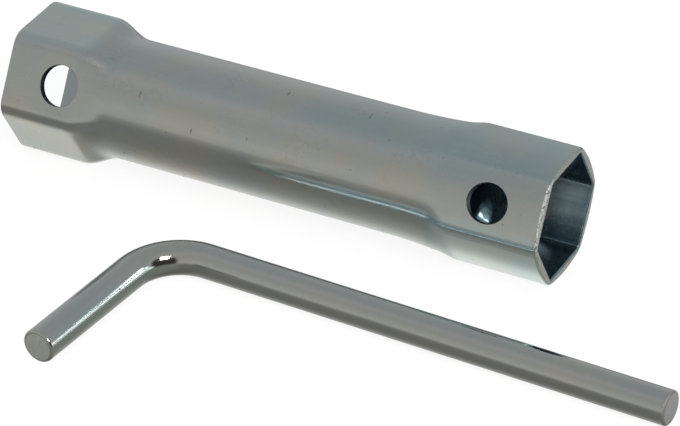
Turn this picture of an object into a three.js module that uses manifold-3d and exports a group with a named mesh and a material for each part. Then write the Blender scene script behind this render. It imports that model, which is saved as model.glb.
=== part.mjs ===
// A double-ended spark plug wrench: a steel tube with a hexagon socket swaged into each end,
// and the loose bent bar that turns it, laid out side by side on a flat surface.
// Millimetres, +Z up. +X runs along the wrench from the large socket to the small one, and the bar lies
// on the -Y side.

import * as THREE from "three";
import { mergeVertices } from "three/addons/utils/BufferGeometryUtils.js";
import Module from "manifold-3d";

const wasm = await Module();
wasm.setup();

// Wrench tube
const WRENCH_LENGTH = 102.8;
const BODY_DIAMETER = 21.5;
const WALL = 1.65;
const RIM_ROUNDING = 0.4;
const MOUTH_CHAMFER = 0.3;

// Hexagon sockets: the size across the inside flats, the straight depth, the taper down to the round body,
// and the rounding of the outside corners
const LARGE_ACROSS_FLATS = 20.7;
const LARGE_DEPTH = 13;
const LARGE_TAPER = 6.5;
const LARGE_CORNER_RADIUS = 3.5;
const SMALL_ACROSS_FLATS = 19.1;
const SMALL_DEPTH = 16.9;
const SMALL_TAPER = 4.3;
const SMALL_CORNER_RADIUS = 3.1;
const SOCKET_CORNER_RADIUS = 0.8;
// The large socket is swaged out further, so its wall is thinner
const LARGE_WALL = 1.5;
// The small socket keeps crowned sides outside, and the body widens gently on its way to it
const SMALL_SIDE_RADIUS = 24;
const SMALL_FLARE = 0.46;
const SMALL_FLARE_LENGTH = 10;

// Cross holes for the bar, each measured from the rim of its own socket
const HOLE_DIAMETER = 7.3;
const LARGE_HOLE_FROM_RIM = 10.7;
const SMALL_HOLE_FROM_RIM = 10;

// Bar: each leg is measured from the crossing of the two centre lines to the end face
const BAR_DIAMETER = 6;
const BAR_LONG_LEG = 95.8;
const BAR_SHORT_LEG = 34.8;
const BAR_ANGLE_BETWEEN_LEGS = 93;
const BAR_BEND_RADIUS = 9.7;
const BAR_END_ROUNDING = 0.5;

// Where the bar lies: its corner, from the middle of the wrench and from the wrench's widest edge
const BAR_CORNER_LEFT_OF_MIDDLE = 11.1;
const BAR_CLEAR_OF_WRENCH = 13.95;
const BAR_TURN = -2.75;

// Fineness of the facets
const SIDES = 6;
const STEPS_PER_SIDE = 10;
const TAPER_STEPS = 8;
const FLARE_STEPS = 4;
const ROUNDING_STEPS = 3;
const BEND_STEPS = 14;
const ROUND_SEGMENTS = 32;

const steel = new THREE.MeshStandardMaterial({ color: 0x8d9192, roughness: 0.32, metalness: 1 });

const SIDE_ANGLE = (2 * Math.PI) / SIDES;
const HALF_SIDE = SIDE_ANGLE / 2;
// The wrench lies on one flat, so the flats face straight down and every sixth of a turn from there.
// The holes go through the flat two sides round from the lowest one, and through the flat opposite.
const LOWEST_FLAT = -Math.PI / 2;
const HOLE_FLAT = LOWEST_FLAT - 2 * SIDE_ANGLE;

// The two surfaces of the tube: the round body and a hexagon at each end. `curve` is one over the radius of the
// hexagon's sides, so 0 is flat.
const outside = {
  bodyRadius: BODY_DIAMETER / 2,
  large: {
    acrossFlats: LARGE_ACROSS_FLATS + 2 * LARGE_WALL,
    cornerRadius: LARGE_CORNER_RADIUS,
    curve: 0,
  },
  small: {
    acrossFlats: SMALL_ACROSS_FLATS + 2 * WALL,
    cornerRadius: SMALL_CORNER_RADIUS,
    curve: 1 / SMALL_SIDE_RADIUS,
  },
};
const inside = {
  bodyRadius: BODY_DIAMETER / 2 - WALL,
  large: { acrossFlats: LARGE_ACROSS_FLATS, cornerRadius: SOCKET_CORNER_RADIUS, curve: 0 },
  small: { acrossFlats: SMALL_ACROSS_FLATS, cornerRadius: SOCKET_CORNER_RADIUS, curve: 0 },
};

// Joins rings of equal length into one closed skin. With `capped` false the last ring meets the first.
function skinRings(rings, capped) {
  const count = rings[0].length;
  const positions = rings.flat().flatMap((point) => [point.x, point.y, point.z]);
  const indices = [];
  const spans = capped ? rings.length - 1 : rings.length;
  for (let ring = 0; ring < spans; ring += 1) {
    const here = ring * count;
    const next = ((ring + 1) % rings.length) * count;
    for (let step = 0; step < count; step += 1) {
      const after = (step + 1) % count;
      indices.push(here + step, here + after, next + after);
      indices.push(here + step, next + after, next + step);
    }
  }
  if (capped) {
    const last = (rings.length - 1) * count;
    for (let step = 1; step < count - 1; step += 1) {
      indices.push(0, step + 1, step);
      indices.push(last, last + step, last + step + 1);
    }
  }
  const geometry = new THREE.BufferGeometry();
  geometry.setAttribute("position", new THREE.Float32BufferAttribute(positions, 3));
  geometry.setIndex(indices);
  return geometry;
}

// Turns a closed geometry into a solid that can be cut
function toSolid(geometry) {
  const bare = geometry.clone();
  bare.deleteAttribute("normal");
  bare.deleteAttribute("uv");
  const merged = mergeVertices(bare);
  const vertProperties = new Float32Array(merged.attributes.position.array);
  const triVerts = new Uint32Array(merged.index.array);
  return new wasm.Manifold(new wasm.Mesh({ numProp: 3, vertProperties, triVerts }));
}

function toGeometry(solid) {
  const mesh = solid.getMesh();
  const geometry = new THREE.BufferGeometry();
  geometry.setAttribute("position", new THREE.BufferAttribute(mesh.vertProperties, 3));
  geometry.setIndex(new THREE.BufferAttribute(mesh.triVerts, 1));
  geometry.computeVertexNormals();
  return geometry;
}

// Distance from the axis to a rounded hexagon, at an angle from the middle of one of its sides
function hexagonRadius(angle, { acrossFlats, cornerRadius, curve }) {
  const fromSide = Math.abs(angle - SIDE_ANGLE * Math.round(angle / SIDE_ANGLE));
  const flatness = 1 - (curve * acrossFlats) / 2;
  // Distance at an angle to a line along the side, which is `height` from the axis at its middle
  const reach = (turn, height) => {
    const share = flatness * Math.cos(turn);
    const rise = height * (2 * flatness + curve * height);
    return rise / (share + Math.sqrt(share ** 2 + curve * rise));
  };
  const cornerCentre = reach(HALF_SIDE, acrossFlats / 2 - cornerRadius);
  const centreAlong = cornerCentre * Math.cos(HALF_SIDE);
  const centreAcross = cornerCentre * Math.sin(HALF_SIDE);
  const sideLeans = Math.atan2(curve * centreAcross, curve * centreAlong + flatness);
  const cornerStart = Math.atan2(
    centreAcross + cornerRadius * Math.sin(sideLeans),
    centreAlong + cornerRadius * Math.cos(sideLeans),
  );
  if (fromSide <= cornerStart) {
    return reach(fromSide, acrossFlats / 2);
  }
  const fromCorner = HALF_SIDE - fromSide;
  const across = cornerCentre * Math.sin(fromCorner);
  return cornerCentre * Math.cos(fromCorner) + Math.sqrt(cornerRadius ** 2 - across ** 2);
}

// Share of the hexagon left at a distance from the rim: all of it in the socket, none past the taper
function hexagonShare(fromRim, depth, taper) {
  return 1 - THREE.MathUtils.smoothstep(fromRim, depth, depth + taper);
}

// How far the round body is widened at a distance from the small socket's rim
function flare(fromSmallRim) {
  const pastTaper = fromSmallRim - SMALL_DEPTH - SMALL_TAPER;
  const left = 1 - THREE.MathUtils.clamp(pastTaper / SMALL_FLARE_LENGTH, 0, 1);
  return SMALL_FLARE * left ** 2;
}

// The six-sided sections share one set of angles, which crowd together at the corners
const ringAngles = [];
for (let side = 0; side < SIDES; side += 1) {
  for (let step = 0; step < STEPS_PER_SIDE; step += 1) {
    const acrossSide = (2 * step) / STEPS_PER_SIDE - 1;
    ringAngles.push(side * SIDE_ANGLE + HALF_SIDE * Math.sin((acrossSide * Math.PI) / 2));
  }
}

// One ring of the tube's outside or inside at a distance along the axis.
// `shrink` draws the ring in or lets it out for the rounded rim.
function tubeRing(along, surface, shrink) {
  const fromSmallRim = WRENCH_LENGTH - along;
  const round = surface.bodyRadius + flare(fromSmallRim);
  const largeShare = hexagonShare(along, LARGE_DEPTH, LARGE_TAPER);
  const smallShare = hexagonShare(fromSmallRim, SMALL_DEPTH, SMALL_TAPER);
  return ringAngles.map((angle) => {
    const large = hexagonRadius(angle, surface.large);
    const small = hexagonRadius(angle, surface.small);
    const radius = round + largeShare * (large - round) + smallShare * (small - round) - shrink;
    const turn = LOWEST_FLAT + angle;
    return new THREE.Vector3(along, radius * Math.cos(turn), radius * Math.sin(turn));
  });
}

// Distances along the axis where the skin needs a ring, from the large socket's taper to the small one's
function taperStations() {
  const stations = [];
  for (let step = 0; step <= TAPER_STEPS; step += 1) {
    stations.push(LARGE_DEPTH + (LARGE_TAPER * step) / TAPER_STEPS);
  }
  const smallTaperStart = WRENCH_LENGTH - SMALL_DEPTH - SMALL_TAPER;
  for (let step = FLARE_STEPS; step > 0; step -= 1) {
    stations.push(smallTaperStart - (SMALL_FLARE_LENGTH * step) / FLARE_STEPS);
  }
  for (let step = 0; step <= TAPER_STEPS; step += 1) {
    stations.push(smallTaperStart + (SMALL_TAPER * step) / TAPER_STEPS);
  }
  return stations;
}

// A rounded outer edge, from the end face inwards: how far from the end, and how far drawn in there
function roundedEdge(radius) {
  const places = [];
  for (let step = 0; step <= ROUNDING_STEPS; step += 1) {
    const turn = (step / ROUNDING_STEPS) * (Math.PI / 2);
    places.push({ fromEnd: radius * (1 - Math.cos(turn)), drawnIn: radius * (1 - Math.sin(turn)) });
  }
  return places;
}

// The tube without its holes: out along the outside, round the far rim, and back along the inside
function tubeSkin() {
  const edge = roundedEdge(RIM_ROUNDING);
  const stations = taperStations();
  const outwards = [
    ...edge.map((place) => tubeRing(place.fromEnd, outside, place.drawnIn)),
    ...stations.map((along) => tubeRing(along, outside, 0)),
    ...edge.toReversed().map((place) => tubeRing(WRENCH_LENGTH - place.fromEnd, outside, place.drawnIn)),
  ];
  const back = [
    tubeRing(WRENCH_LENGTH, inside, -MOUTH_CHAMFER),
    tubeRing(WRENCH_LENGTH - MOUTH_CHAMFER, inside, 0),
    ...stations.toReversed().map((along) => tubeRing(along, inside, 0)),
    tubeRing(MOUTH_CHAMFER, inside, 0),
    tubeRing(0, inside, -MOUTH_CHAMFER),
  ];
  return skinRings([...outwards, ...back], false);
}

// A straight cut through both walls, square to the flat that carries the hole
function crossHole(along) {
  const cutLength = LARGE_ACROSS_FLATS + SMALL_ACROSS_FLATS;
  const cut = new THREE.CylinderGeometry(HOLE_DIAMETER / 2, HOLE_DIAMETER / 2, cutLength, ROUND_SEGMENTS);
  cut.rotateX(HOLE_FLAT);
  cut.translate(along, 0, 0);
  return toSolid(cut);
}

// The wrench tube, from the large socket's rim at x = 0, with its axis on X and one flat facing down
function wrenchTube() {
  const solid = toSolid(tubeSkin())
    .subtract(crossHole(LARGE_HOLE_FROM_RIM))
    .subtract(crossHole(WRENCH_LENGTH - SMALL_HOLE_FROM_RIM));
  const mesh = new THREE.Mesh(toGeometry(solid), steel);
  mesh.name = "wrench_tube";
  return mesh;
}

// A ring of the bar round a point of its centre line, square to the heading
function barRing(x, y, heading, radius) {
  const sideX = -Math.sin(heading);
  const sideY = Math.cos(heading);
  const ring = [];
  for (let step = 0; step < ROUND_SEGMENTS; step += 1) {
    const turn = (step / ROUND_SEGMENTS) * 2 * Math.PI;
    const outwards = radius * Math.cos(turn);
    ring.push(new THREE.Vector3(x + outwards * sideX, y + outwards * sideY, radius * Math.sin(turn)));
  }
  return ring;
}

// The bar, lying flat, with the crossing of its centre lines at the origin and its long leg along +X
function tommyBar() {
  const radius = BAR_DIAMETER / 2;
  const betweenLegs = THREE.MathUtils.degToRad(BAR_ANGLE_BETWEEN_LEGS);
  const bend = Math.PI - betweenLegs;
  const bendStart = BAR_BEND_RADIUS / Math.tan(betweenLegs / 2);
  const shortHeading = Math.PI + bend;
  const edge = roundedEdge(BAR_END_ROUNDING);
  const longEnd = edge.map((place) =>
    barRing(BAR_LONG_LEG - place.fromEnd, 0, Math.PI, radius - place.drawnIn));
  const corner = [];
  for (let step = 0; step <= BEND_STEPS; step += 1) {
    const turned = (bend * step) / BEND_STEPS;
    const x = bendStart - BAR_BEND_RADIUS * Math.sin(turned);
    const y = BAR_BEND_RADIUS * (Math.cos(turned) - 1);
    corner.push(barRing(x, y, Math.PI + turned, radius));
  }
  const shortEnd = edge.toReversed().map((place) => {
    const along = BAR_SHORT_LEG - place.fromEnd;
    const x = along * Math.cos(shortHeading);
    const y = along * Math.sin(shortHeading);
    return barRing(x, y, shortHeading, radius - place.drawnIn);
  });
  const geometry = skinRings([...longEnd, ...corner, ...shortEnd], true);
  geometry.computeVertexNormals();
  const mesh = new THREE.Mesh(geometry, steel);
  mesh.name = "tommy_bar";
  return mesh;
}

// The wrench leans by the difference of its two ends, down on the inner end of the large socket's
// lowest flat and on the small socket's rim
const endsDiffer = outside.large.acrossFlats - outside.small.acrossFlats;
const betweenContacts = WRENCH_LENGTH - RIM_ROUNDING - LARGE_DEPTH;
const tube = wrenchTube();
tube.position.x = -WRENCH_LENGTH / 2;
const wrench = new THREE.Group();
wrench.add(tube);
wrench.rotation.y = Math.atan2(endsDiffer / 2, betweenContacts);
wrench.position.z = -new THREE.Box3().setFromObject(wrench, true).min.z;

const widestEdge = hexagonRadius(HALF_SIDE, outside.large);
const bar = tommyBar();
bar.rotation.z = THREE.MathUtils.degToRad(BAR_TURN);
bar.position.set(-BAR_CORNER_LEFT_OF_MIDDLE, -widestEdge - BAR_CLEAR_OF_WRENCH, BAR_DIAMETER / 2);

// The origin is under the middle of the box round both pieces, on the surface that they lie on
const sparkPlugWrench = new THREE.Group();
sparkPlugWrench.add(wrench, bar);
const middle = new THREE.Box3().setFromObject(sparkPlugWrench, true).getCenter(new THREE.Vector3());
sparkPlugWrench.position.set(-middle.x, -middle.y, 0);

export default sparkPlugWrench;
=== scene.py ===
# The looks of a double-ended spark plug wrench and its loose bent bar: two zinc-plated steel pieces on
# a pale floor. Shapes are worked out in millimetres, as the maker would give them, and set into the
# frame in metres.

import math
from collections import namedtuple

import bmesh
import bpy
from mathutils import Matrix, Vector, noise


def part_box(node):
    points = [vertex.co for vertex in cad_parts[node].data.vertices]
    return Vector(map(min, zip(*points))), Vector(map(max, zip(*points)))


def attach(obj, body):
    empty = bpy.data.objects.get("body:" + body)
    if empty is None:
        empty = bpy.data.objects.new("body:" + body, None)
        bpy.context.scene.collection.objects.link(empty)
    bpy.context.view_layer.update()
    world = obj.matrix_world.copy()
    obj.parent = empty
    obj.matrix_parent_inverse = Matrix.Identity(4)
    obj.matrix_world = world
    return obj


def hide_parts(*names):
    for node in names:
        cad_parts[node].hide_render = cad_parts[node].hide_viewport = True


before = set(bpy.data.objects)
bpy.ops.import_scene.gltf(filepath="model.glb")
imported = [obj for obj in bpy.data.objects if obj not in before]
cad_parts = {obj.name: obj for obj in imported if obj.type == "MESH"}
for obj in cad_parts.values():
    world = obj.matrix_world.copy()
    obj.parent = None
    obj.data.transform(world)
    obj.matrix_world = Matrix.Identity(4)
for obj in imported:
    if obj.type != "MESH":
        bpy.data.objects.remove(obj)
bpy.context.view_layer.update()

MM = 0.001

# Wrench tube
WRENCH_LENGTH = 102.8
BODY_DIAMETER = 21.5
WALL = 1.65
RIM_ROUNDING = 0.4
MOUTH_ROUNDING = 0.3

# Hexagon sockets: across the inside flats, the straight depth, the taper down to the round body, and the
# rounding of the outside corners. The flats of the large one run on a little into its taper, the sides
# of the small one are crowned, and the body flares beside it.
LARGE_ACROSS_FLATS = 20.7
LARGE_DEPTH = 13.0
LARGE_TAPER = 6.5
LARGE_FLAT_RUN = 1.2
LARGE_CORNER_RADIUS = 3.5
LARGE_WALL = 1.5
SMALL_ACROSS_FLATS = 19.1
SMALL_DEPTH = 16.9
SMALL_TAPER = 4.3
SMALL_INSIDE_TAPER = 2.0
SMALL_CORNER_RADIUS = 3.1
SMALL_SIDE_RADIUS = 24.0
SMALL_FLARE = 0.46
SMALL_FLARE_LENGTH = 10.0
SOCKET_CORNER_RADIUS = 0.8

# Cross holes for the bar, each measured from the rim of its own socket, with a slightly rounded edge.
# Pressing the small socket left its holes a little oval, and drew them down the side.
HOLE_DIAMETER = 7.3
LARGE_HOLE_FROM_RIM = 10.7
SMALL_HOLE_FROM_RIM = 10.0
SMALL_HOLE_SQUASH = 0.94
SMALL_HOLE_SLIP = -0.2
HOLE_EDGE_RADIUS = 0.1
HOLE_EDGE_SWEEP = math.radians(72)

# Bar: each leg is measured from the crossing of the two centre lines to the end face
BAR_DIAMETER = 6.0
BAR_LONG_LEG = 95.8
BAR_SHORT_LEG = 34.8
BAR_ANGLE_BETWEEN_LEGS = 93.0
BAR_BEND_RADIUS = 9.7
BAR_END_ROUNDING = 0.5
BAR_TURN = -2.75

# How far the pressed and cut surfaces stray from true: the greatest depth, the size of the lumps, and a
# seed. Along a drawn piece the lumps are longer.
Wave = namedtuple("Wave", "depth lump seed")
BODY_WAVE = Wave(0.02, 6.0, 3.1)
RIM_WAVE = Wave(0.036, 2.2, 7.3)
RIM_TEETH = Wave(0.024, 0.7, 12.3)
BURR_WAVE = Wave(0.21, 0.9, 2.9)
BAR_WAVE = Wave(0.006, 3.0, 1.7)
LONG_END_WAVE = Wave(0.06, 1.6, 4.2)
SHORT_END_WAVE = Wave(0.06, 1.6, 9.6)
DRAWN_STRETCH = 3

# The burr along the front side of the small rim: where it starts outwards from the axis, how far it
# stands out at least, how far it runs back from the rim, half its length round the rim, the length in
# which it dies away, and the share of it above which a face is bare
BURR_FROM_AXIS = 10.15
BURR_LEAST_RISE = 0.09
BURR_DEPTH = 0.75
BURR_HALF_LENGTH = 6.2
BURR_FADE = 1.5
BURR_BARE_SHARE = 0.4

# Fineness of the meshes
SIDES = 6
STEPS_PER_SIDE = 40
RING_SPACING = 0.7
ROUNDING_STEPS = 5
HOLE_STEPS = 96
BAR_STEPS = 72
BEND_STEPS = 48
BAR_RING_SPACING = 1.0
CAP_SHARES = (0.86, 0.66, 0.44, 0.22, 0.06)
SHARP_ANGLE = math.radians(38)
LARGE_FACE_WEIGHT = 80

# Faces of the tube and of the bar by what finish they carry
OUTSIDE_FINISH = 0
INSIDE_FINISH = 1
CUT_FINISH = 2
HOLE_FINISH = 3
SHEARED_FINISH = 1

SIDE_ANGLE = 2 * math.pi / SIDES
HALF_SIDE = SIDE_ANGLE / 2
LOWEST_FLAT = -math.pi / 2
HOLE_FLAT = LOWEST_FLAT - 2 * SIDE_ANGLE

# The two surfaces of the tube: the round body and a hexagon at each end. A hexagon's curve is one over
# the radius of its sides, so 0 is flat.
Hexagon = namedtuple("Hexagon", "across_flats corner_radius curve")
Surface = namedtuple("Surface", "body_radius large small small_taper")
OUTSIDE = Surface(
    BODY_DIAMETER / 2,
    Hexagon(LARGE_ACROSS_FLATS + 2 * LARGE_WALL, LARGE_CORNER_RADIUS, 0.0),
    Hexagon(SMALL_ACROSS_FLATS + 2 * WALL, SMALL_CORNER_RADIUS, 1 / SMALL_SIDE_RADIUS),
    SMALL_TAPER,
)
INSIDE = Surface(
    BODY_DIAMETER / 2 - WALL,
    Hexagon(LARGE_ACROSS_FLATS, SOCKET_CORNER_RADIUS, 0.0),
    Hexagon(SMALL_ACROSS_FLATS, SOCKET_CORNER_RADIUS, 0.0),
    SMALL_INSIDE_TAPER,
)


# Mesh helpers

def clamp(value):
    """A value held between 0 and 1."""
    return max(0.0, min(1.0, value))


def stray(place, wave):
    """How far a surface strays at a place in millimetres: smooth noise from 0 to the wave's depth."""
    shifted = Vector(place) / wave.lump + Vector((wave.seed, -wave.seed, wave.seed / 2))
    return wave.depth * clamp(0.5 + 0.5 * noise.noise(shifted))


def rounded_edge(radius, sweep=math.pi / 2):
    """A rounded edge from an end face inwards: how far from the end, and how far drawn in there."""
    places = []
    for step in range(ROUNDING_STEPS + 1):
        turn = step / ROUNDING_STEPS * sweep
        places.append((radius * (1 - math.cos(turn)), radius * (1 - math.sin(turn))))
    return places


def even_stations(start, end, spacing):
    """Places from start to end, about the spacing apart, without the two ends."""
    count = max(1, round((end - start) / spacing))
    return [start + (end - start) * step / count for step in range(1, count)]


def skin_rings(mesh, rings, closed):
    """Joins rings of equal length with quads, and if closed the last ring to the first.

    Returns the vertices of each ring and the faces of each span between two rings.
    """
    verts = [[mesh.verts.new(point) for point in ring] for ring in rings]
    spans = len(rings) if closed else len(rings) - 1
    bands = []
    for ring in range(spans):
        here = verts[ring]
        after = verts[(ring + 1) % len(rings)]
        count = len(here)
        band = []
        for step in range(count):
            beside = (step + 1) % count
            band.append(mesh.faces.new((here[step], here[beside], after[beside], after[step])))
        bands.append(band)
    return verts, bands


def close_ends(mesh, verts):
    """Closes the first and the last ring of an open skin, and returns the two faces."""
    return [mesh.faces.new(list(reversed(verts[0]))), mesh.faces.new(verts[-1])]


def add_object(name, data):
    """Puts a mesh, a lamp or a camera into the scene."""
    made = bpy.data.objects.new(name, data)
    bpy.context.scene.collection.objects.link(made)
    return made


def new_object(name, mesh):
    """Makes an object of a bmesh, which it frees."""
    data = bpy.data.meshes.new(name)
    mesh.to_mesh(data)
    mesh.free()
    return add_object(name, data)


def seat_on_node(points, node):
    """The matrix from millimetres to the frame that sets the box of some points where the node's box is."""
    low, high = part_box(node)
    lowest = [min(point[axis] for point in points) for axis in range(3)]
    highest = [max(point[axis] for point in points) for axis in range(3)]
    middle = [(lowest[axis] + highest[axis]) / 2 * MM for axis in range(3)]
    shift = Vector((
        (low.x + high.x) / 2 - middle[0],
        (low.y + high.y) / 2 - middle[1],
        low.z - lowest[2] * MM,
    ))
    return Matrix.Translation(shift) @ Matrix.Scale(MM, 4)


def apply_modifiers(piece):
    """Bakes a piece's modifiers into its mesh."""
    graph = bpy.context.evaluated_depsgraph_get()
    done = bpy.data.meshes.new_from_object(piece.evaluated_get(graph))
    old = piece.data
    piece.modifiers.clear()
    piece.data = done
    done.name = old.name + "_mesh"


def smooth_with_sharp_edges(piece):
    """Smooth shading, broken only at real edges, with normals led by the large faces."""
    piece.data.polygons.foreach_set("use_smooth", [True] * len(piece.data.polygons))
    piece.data.set_sharp_from_angle(angle=SHARP_ANGLE)
    weighted = piece.modifiers.new("even_normals", "WEIGHTED_NORMAL")
    weighted.keep_sharp = True
    weighted.weight = LARGE_FACE_WEIGHT
    apply_modifiers(piece)


# Wrench tube

def hexagon_radius(angle, hexagon):
    """Distance from the axis to a rounded hexagon, at an angle from the middle of one of its sides."""
    across_flats, corner_radius, curve = hexagon
    from_side = abs(angle - SIDE_ANGLE * round(angle / SIDE_ANGLE))
    flatness = 1 - curve * across_flats / 2

    def reach(turn, height):
        """Distance at an angle to a line along the side, which is height from the axis at its middle."""
        share = flatness * math.cos(turn)
        rise = height * (2 * flatness + curve * height)
        return rise / (share + math.sqrt(share ** 2 + curve * rise))

    corner_centre = reach(HALF_SIDE, across_flats / 2 - corner_radius)
    centre_along = corner_centre * math.cos(HALF_SIDE)
    centre_across = corner_centre * math.sin(HALF_SIDE)
    side_leans = math.atan2(curve * centre_across, curve * centre_along + flatness)
    corner_start = math.atan2(
        centre_across + corner_radius * math.sin(side_leans),
        centre_along + corner_radius * math.cos(side_leans),
    )
    if from_side <= corner_start:
        return reach(from_side, across_flats / 2)
    from_corner = HALF_SIDE - from_side
    across = corner_centre * math.sin(from_corner)
    return corner_centre * math.cos(from_corner) + math.sqrt(corner_radius ** 2 - across ** 2)


def side_height(hexagon, across):
    """Height of a hexagon's side above the axis, at a distance across from its middle."""
    drop = hexagon.curve * across ** 2 / (1 + math.sqrt(1 - (hexagon.curve * across) ** 2))
    return hexagon.across_flats / 2 - drop


def hexagon_share(from_rim, depth, taper):
    """Share of the hexagon left at a distance from the rim: all in the socket, and none past the taper."""
    share = clamp((from_rim - depth) / taper)
    return 1 - share * share * (3 - 2 * share)


def pressed_share(from_rim, angle):
    """The same for the large socket, whose flats run on past its corners and end in a crisp arc."""
    on_flat = 0.5 + 0.5 * math.cos(SIDES * angle)
    past_flat = clamp((from_rim - LARGE_DEPTH - LARGE_FLAT_RUN) / (LARGE_TAPER - LARGE_FLAT_RUN))
    corner = hexagon_share(from_rim, LARGE_DEPTH, LARGE_TAPER)
    return corner + on_flat * ((1 - past_flat) ** 2 - corner)


def flare(from_small_rim):
    """How far the round body is widened at a distance from the small socket's rim."""
    past_taper = from_small_rim - SMALL_DEPTH - SMALL_TAPER
    return SMALL_FLARE * (1 - clamp(past_taper / SMALL_FLARE_LENGTH)) ** 2


def ring_angles():
    """Angles round the tube from the lowest flat, crowded together at the hexagon's corners."""
    angles = []
    for side in range(SIDES):
        for step in range(STEPS_PER_SIDE):
            across_side = 2 * step / STEPS_PER_SIDE - 1
            angles.append(side * SIDE_ANGLE + HALF_SIDE * math.sin(across_side * math.pi / 2))
    return angles


def tube_ring(along, surface, shrink):
    """One ring of the outside or the inside, drawn in by shrink for a rounded rim."""
    from_small_rim = WRENCH_LENGTH - along
    body = surface.body_radius + flare(from_small_rim)
    small_share = hexagon_share(from_small_rim, SMALL_DEPTH, surface.small_taper)
    ring = []
    for angle in ring_angles():
        large_share = pressed_share(along, angle)
        large = hexagon_radius(angle, surface.large)
        small = hexagon_radius(angle, surface.small)
        radius = body + large_share * (large - body) + small_share * (small - body) - shrink
        turn = LOWEST_FLAT + angle
        y, z = math.cos(turn), math.sin(turn)
        radius -= stray((along / DRAWN_STRETCH, radius * y, radius * z), BODY_WAVE)
        ring.append(Vector((along, radius * y, radius * z)))
    return ring


def roughen_rims(rings):
    """Lets the sawn ends wander inwards along the axis, most at the end face."""
    for ring in rings:
        for point in ring:
            from_end = min(point.x, WRENCH_LENGTH - point.x)
            towards_middle = 1 if point.x < WRENCH_LENGTH / 2 else -1
            nearness = max(0.0, 1 - from_end / RIM_ROUNDING)
            ragged = stray(point, RIM_WAVE) + stray(point, RIM_TEETH)
            point.x += towards_middle * nearness * ragged


def burr_share(point):
    """How much a place on the outside belongs to the burr: 1 at the small rim's front edge, 0 far off."""
    outwards = point.y * math.cos(HOLE_FLAT) + point.z * math.sin(HOLE_FLAT)
    across = point.z * math.cos(HOLE_FLAT) - point.y * math.sin(HOLE_FLAT)
    if outwards < 0:
        return 0.0
    on_side = clamp((BURR_HALF_LENGTH - abs(across)) / BURR_FADE)
    return on_side * clamp(1 - (WRENCH_LENGTH - point.x) / BURR_DEPTH)


def raise_burr(rings):
    """Turns the front edge of the small rim outwards, unevenly, as sawing left it."""
    outwards = Vector((0, math.cos(HOLE_FLAT), math.sin(HOLE_FLAT)))
    for ring in rings:
        for point in ring:
            rise = BURR_LEAST_RISE + stray(point, BURR_WAVE)
            point += outwards * burr_share(point) * rise


def tube_skin():
    """The tube without its holes: out along the outside, round the far rim, and back along the inside.

    Returns the rings and how many of them are on the outside.
    """
    outer_edge = rounded_edge(RIM_ROUNDING)
    mouth_edge = rounded_edge(MOUTH_ROUNDING)
    middle = even_stations(RIM_ROUNDING, WRENCH_LENGTH - RIM_ROUNDING, RING_SPACING)
    middle.append(WRENCH_LENGTH - BURR_DEPTH)
    middle.sort()
    outside = [tube_ring(from_end, OUTSIDE, drawn_in) for from_end, drawn_in in outer_edge]
    outside += [tube_ring(along, OUTSIDE, 0) for along in middle]
    for from_end, drawn_in in reversed(outer_edge):
        outside.append(tube_ring(WRENCH_LENGTH - from_end, OUTSIDE, drawn_in))
    inside = [tube_ring(WRENCH_LENGTH - from_end, INSIDE, -drawn_in) for from_end, drawn_in in mouth_edge]
    inside += [tube_ring(along, INSIDE, 0) for along in reversed(middle)]
    inside += [tube_ring(from_end, INSIDE, -drawn_in) for from_end, drawn_in in reversed(mouth_edge)]
    raise_burr(outside)
    rings = outside + inside
    roughen_rims(rings)
    return rings, len(outside)


def finish_of_band(band, outside_count, ring_count):
    """Which finish the faces between ring number band and the next one carry."""
    if band in (outside_count - 1, ring_count - 1):
        return CUT_FINISH
    if band >= outside_count:
        return INSIDE_FINISH
    bare = ROUNDING_STEPS // 2
    at_rim = band < bare or band > outside_count - 2 - bare
    return CUT_FINISH if at_rim else OUTSIDE_FINISH


def hole_cutter(along, inner, outer, squash, slip):
    """A cutter for one pair of holes, flared where it leaves each face of the wall between two hexagons.

    squash narrows the holes across the side of the hexagon, and slip moves them across it.
    """
    radius = HOLE_DIAMETER / 2
    edge = rounded_edge(HOLE_EDGE_RADIUS, HOLE_EDGE_SWEEP)
    profile = [(inner, -WALL, radius + HOLE_EDGE_RADIUS)]
    profile += [(inner, inward, radius + opened) for opened, inward in reversed(edge)]
    profile += [(outer, -inward, radius + opened) for opened, inward in edge]
    profile += [(outer, WALL, radius + HOLE_EDGE_RADIUS)]
    rings = []
    for way, places in ((-1, reversed(profile)), (1, profile)):
        for hexagon, above, wide in places:
            ring = []
            for step in range(HOLE_STEPS):
                turn = 2 * math.pi * step / HOLE_STEPS
                across = squash * wide * math.sin(turn) + slip
                height = side_height(hexagon, across) + above - BODY_WAVE.depth / 2
                ring.append(Vector((wide * math.cos(turn), across, way * height)))
            rings.append(ring)
    mesh = bmesh.new()
    verts, _ = skin_rings(mesh, rings, False)
    close_ends(mesh, verts)
    for face in mesh.faces:
        face.material_index = HOLE_FINISH
    towards_flat = Matrix.Rotation(HOLE_FLAT - math.pi / 2, 4, "X")
    mesh.transform(Matrix.Translation((along, 0, 0)) @ towards_flat)
    bmesh.ops.recalc_face_normals(mesh, faces=mesh.faces)
    return new_object("hole_cutter", mesh)


def punch_holes(tube):
    """Cuts both pairs of cross holes."""
    small_along = WRENCH_LENGTH - SMALL_HOLE_FROM_RIM
    cutters = [
        hole_cutter(LARGE_HOLE_FROM_RIM, INSIDE.large, OUTSIDE.large, 1.0, 0.0),
        hole_cutter(small_along, INSIDE.small, OUTSIDE.small, SMALL_HOLE_SQUASH, SMALL_HOLE_SLIP),
    ]
    for cutter in cutters:
        for material in tube.data.materials:
            cutter.data.materials.append(material)
        cut = tube.modifiers.new("hole", "BOOLEAN")
        cut.operation = "DIFFERENCE"
        cut.solver = "EXACT"
        cut.object = cutter
    apply_modifiers(tube)
    for cutter in cutters:
        bpy.data.objects.remove(cutter)


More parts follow.
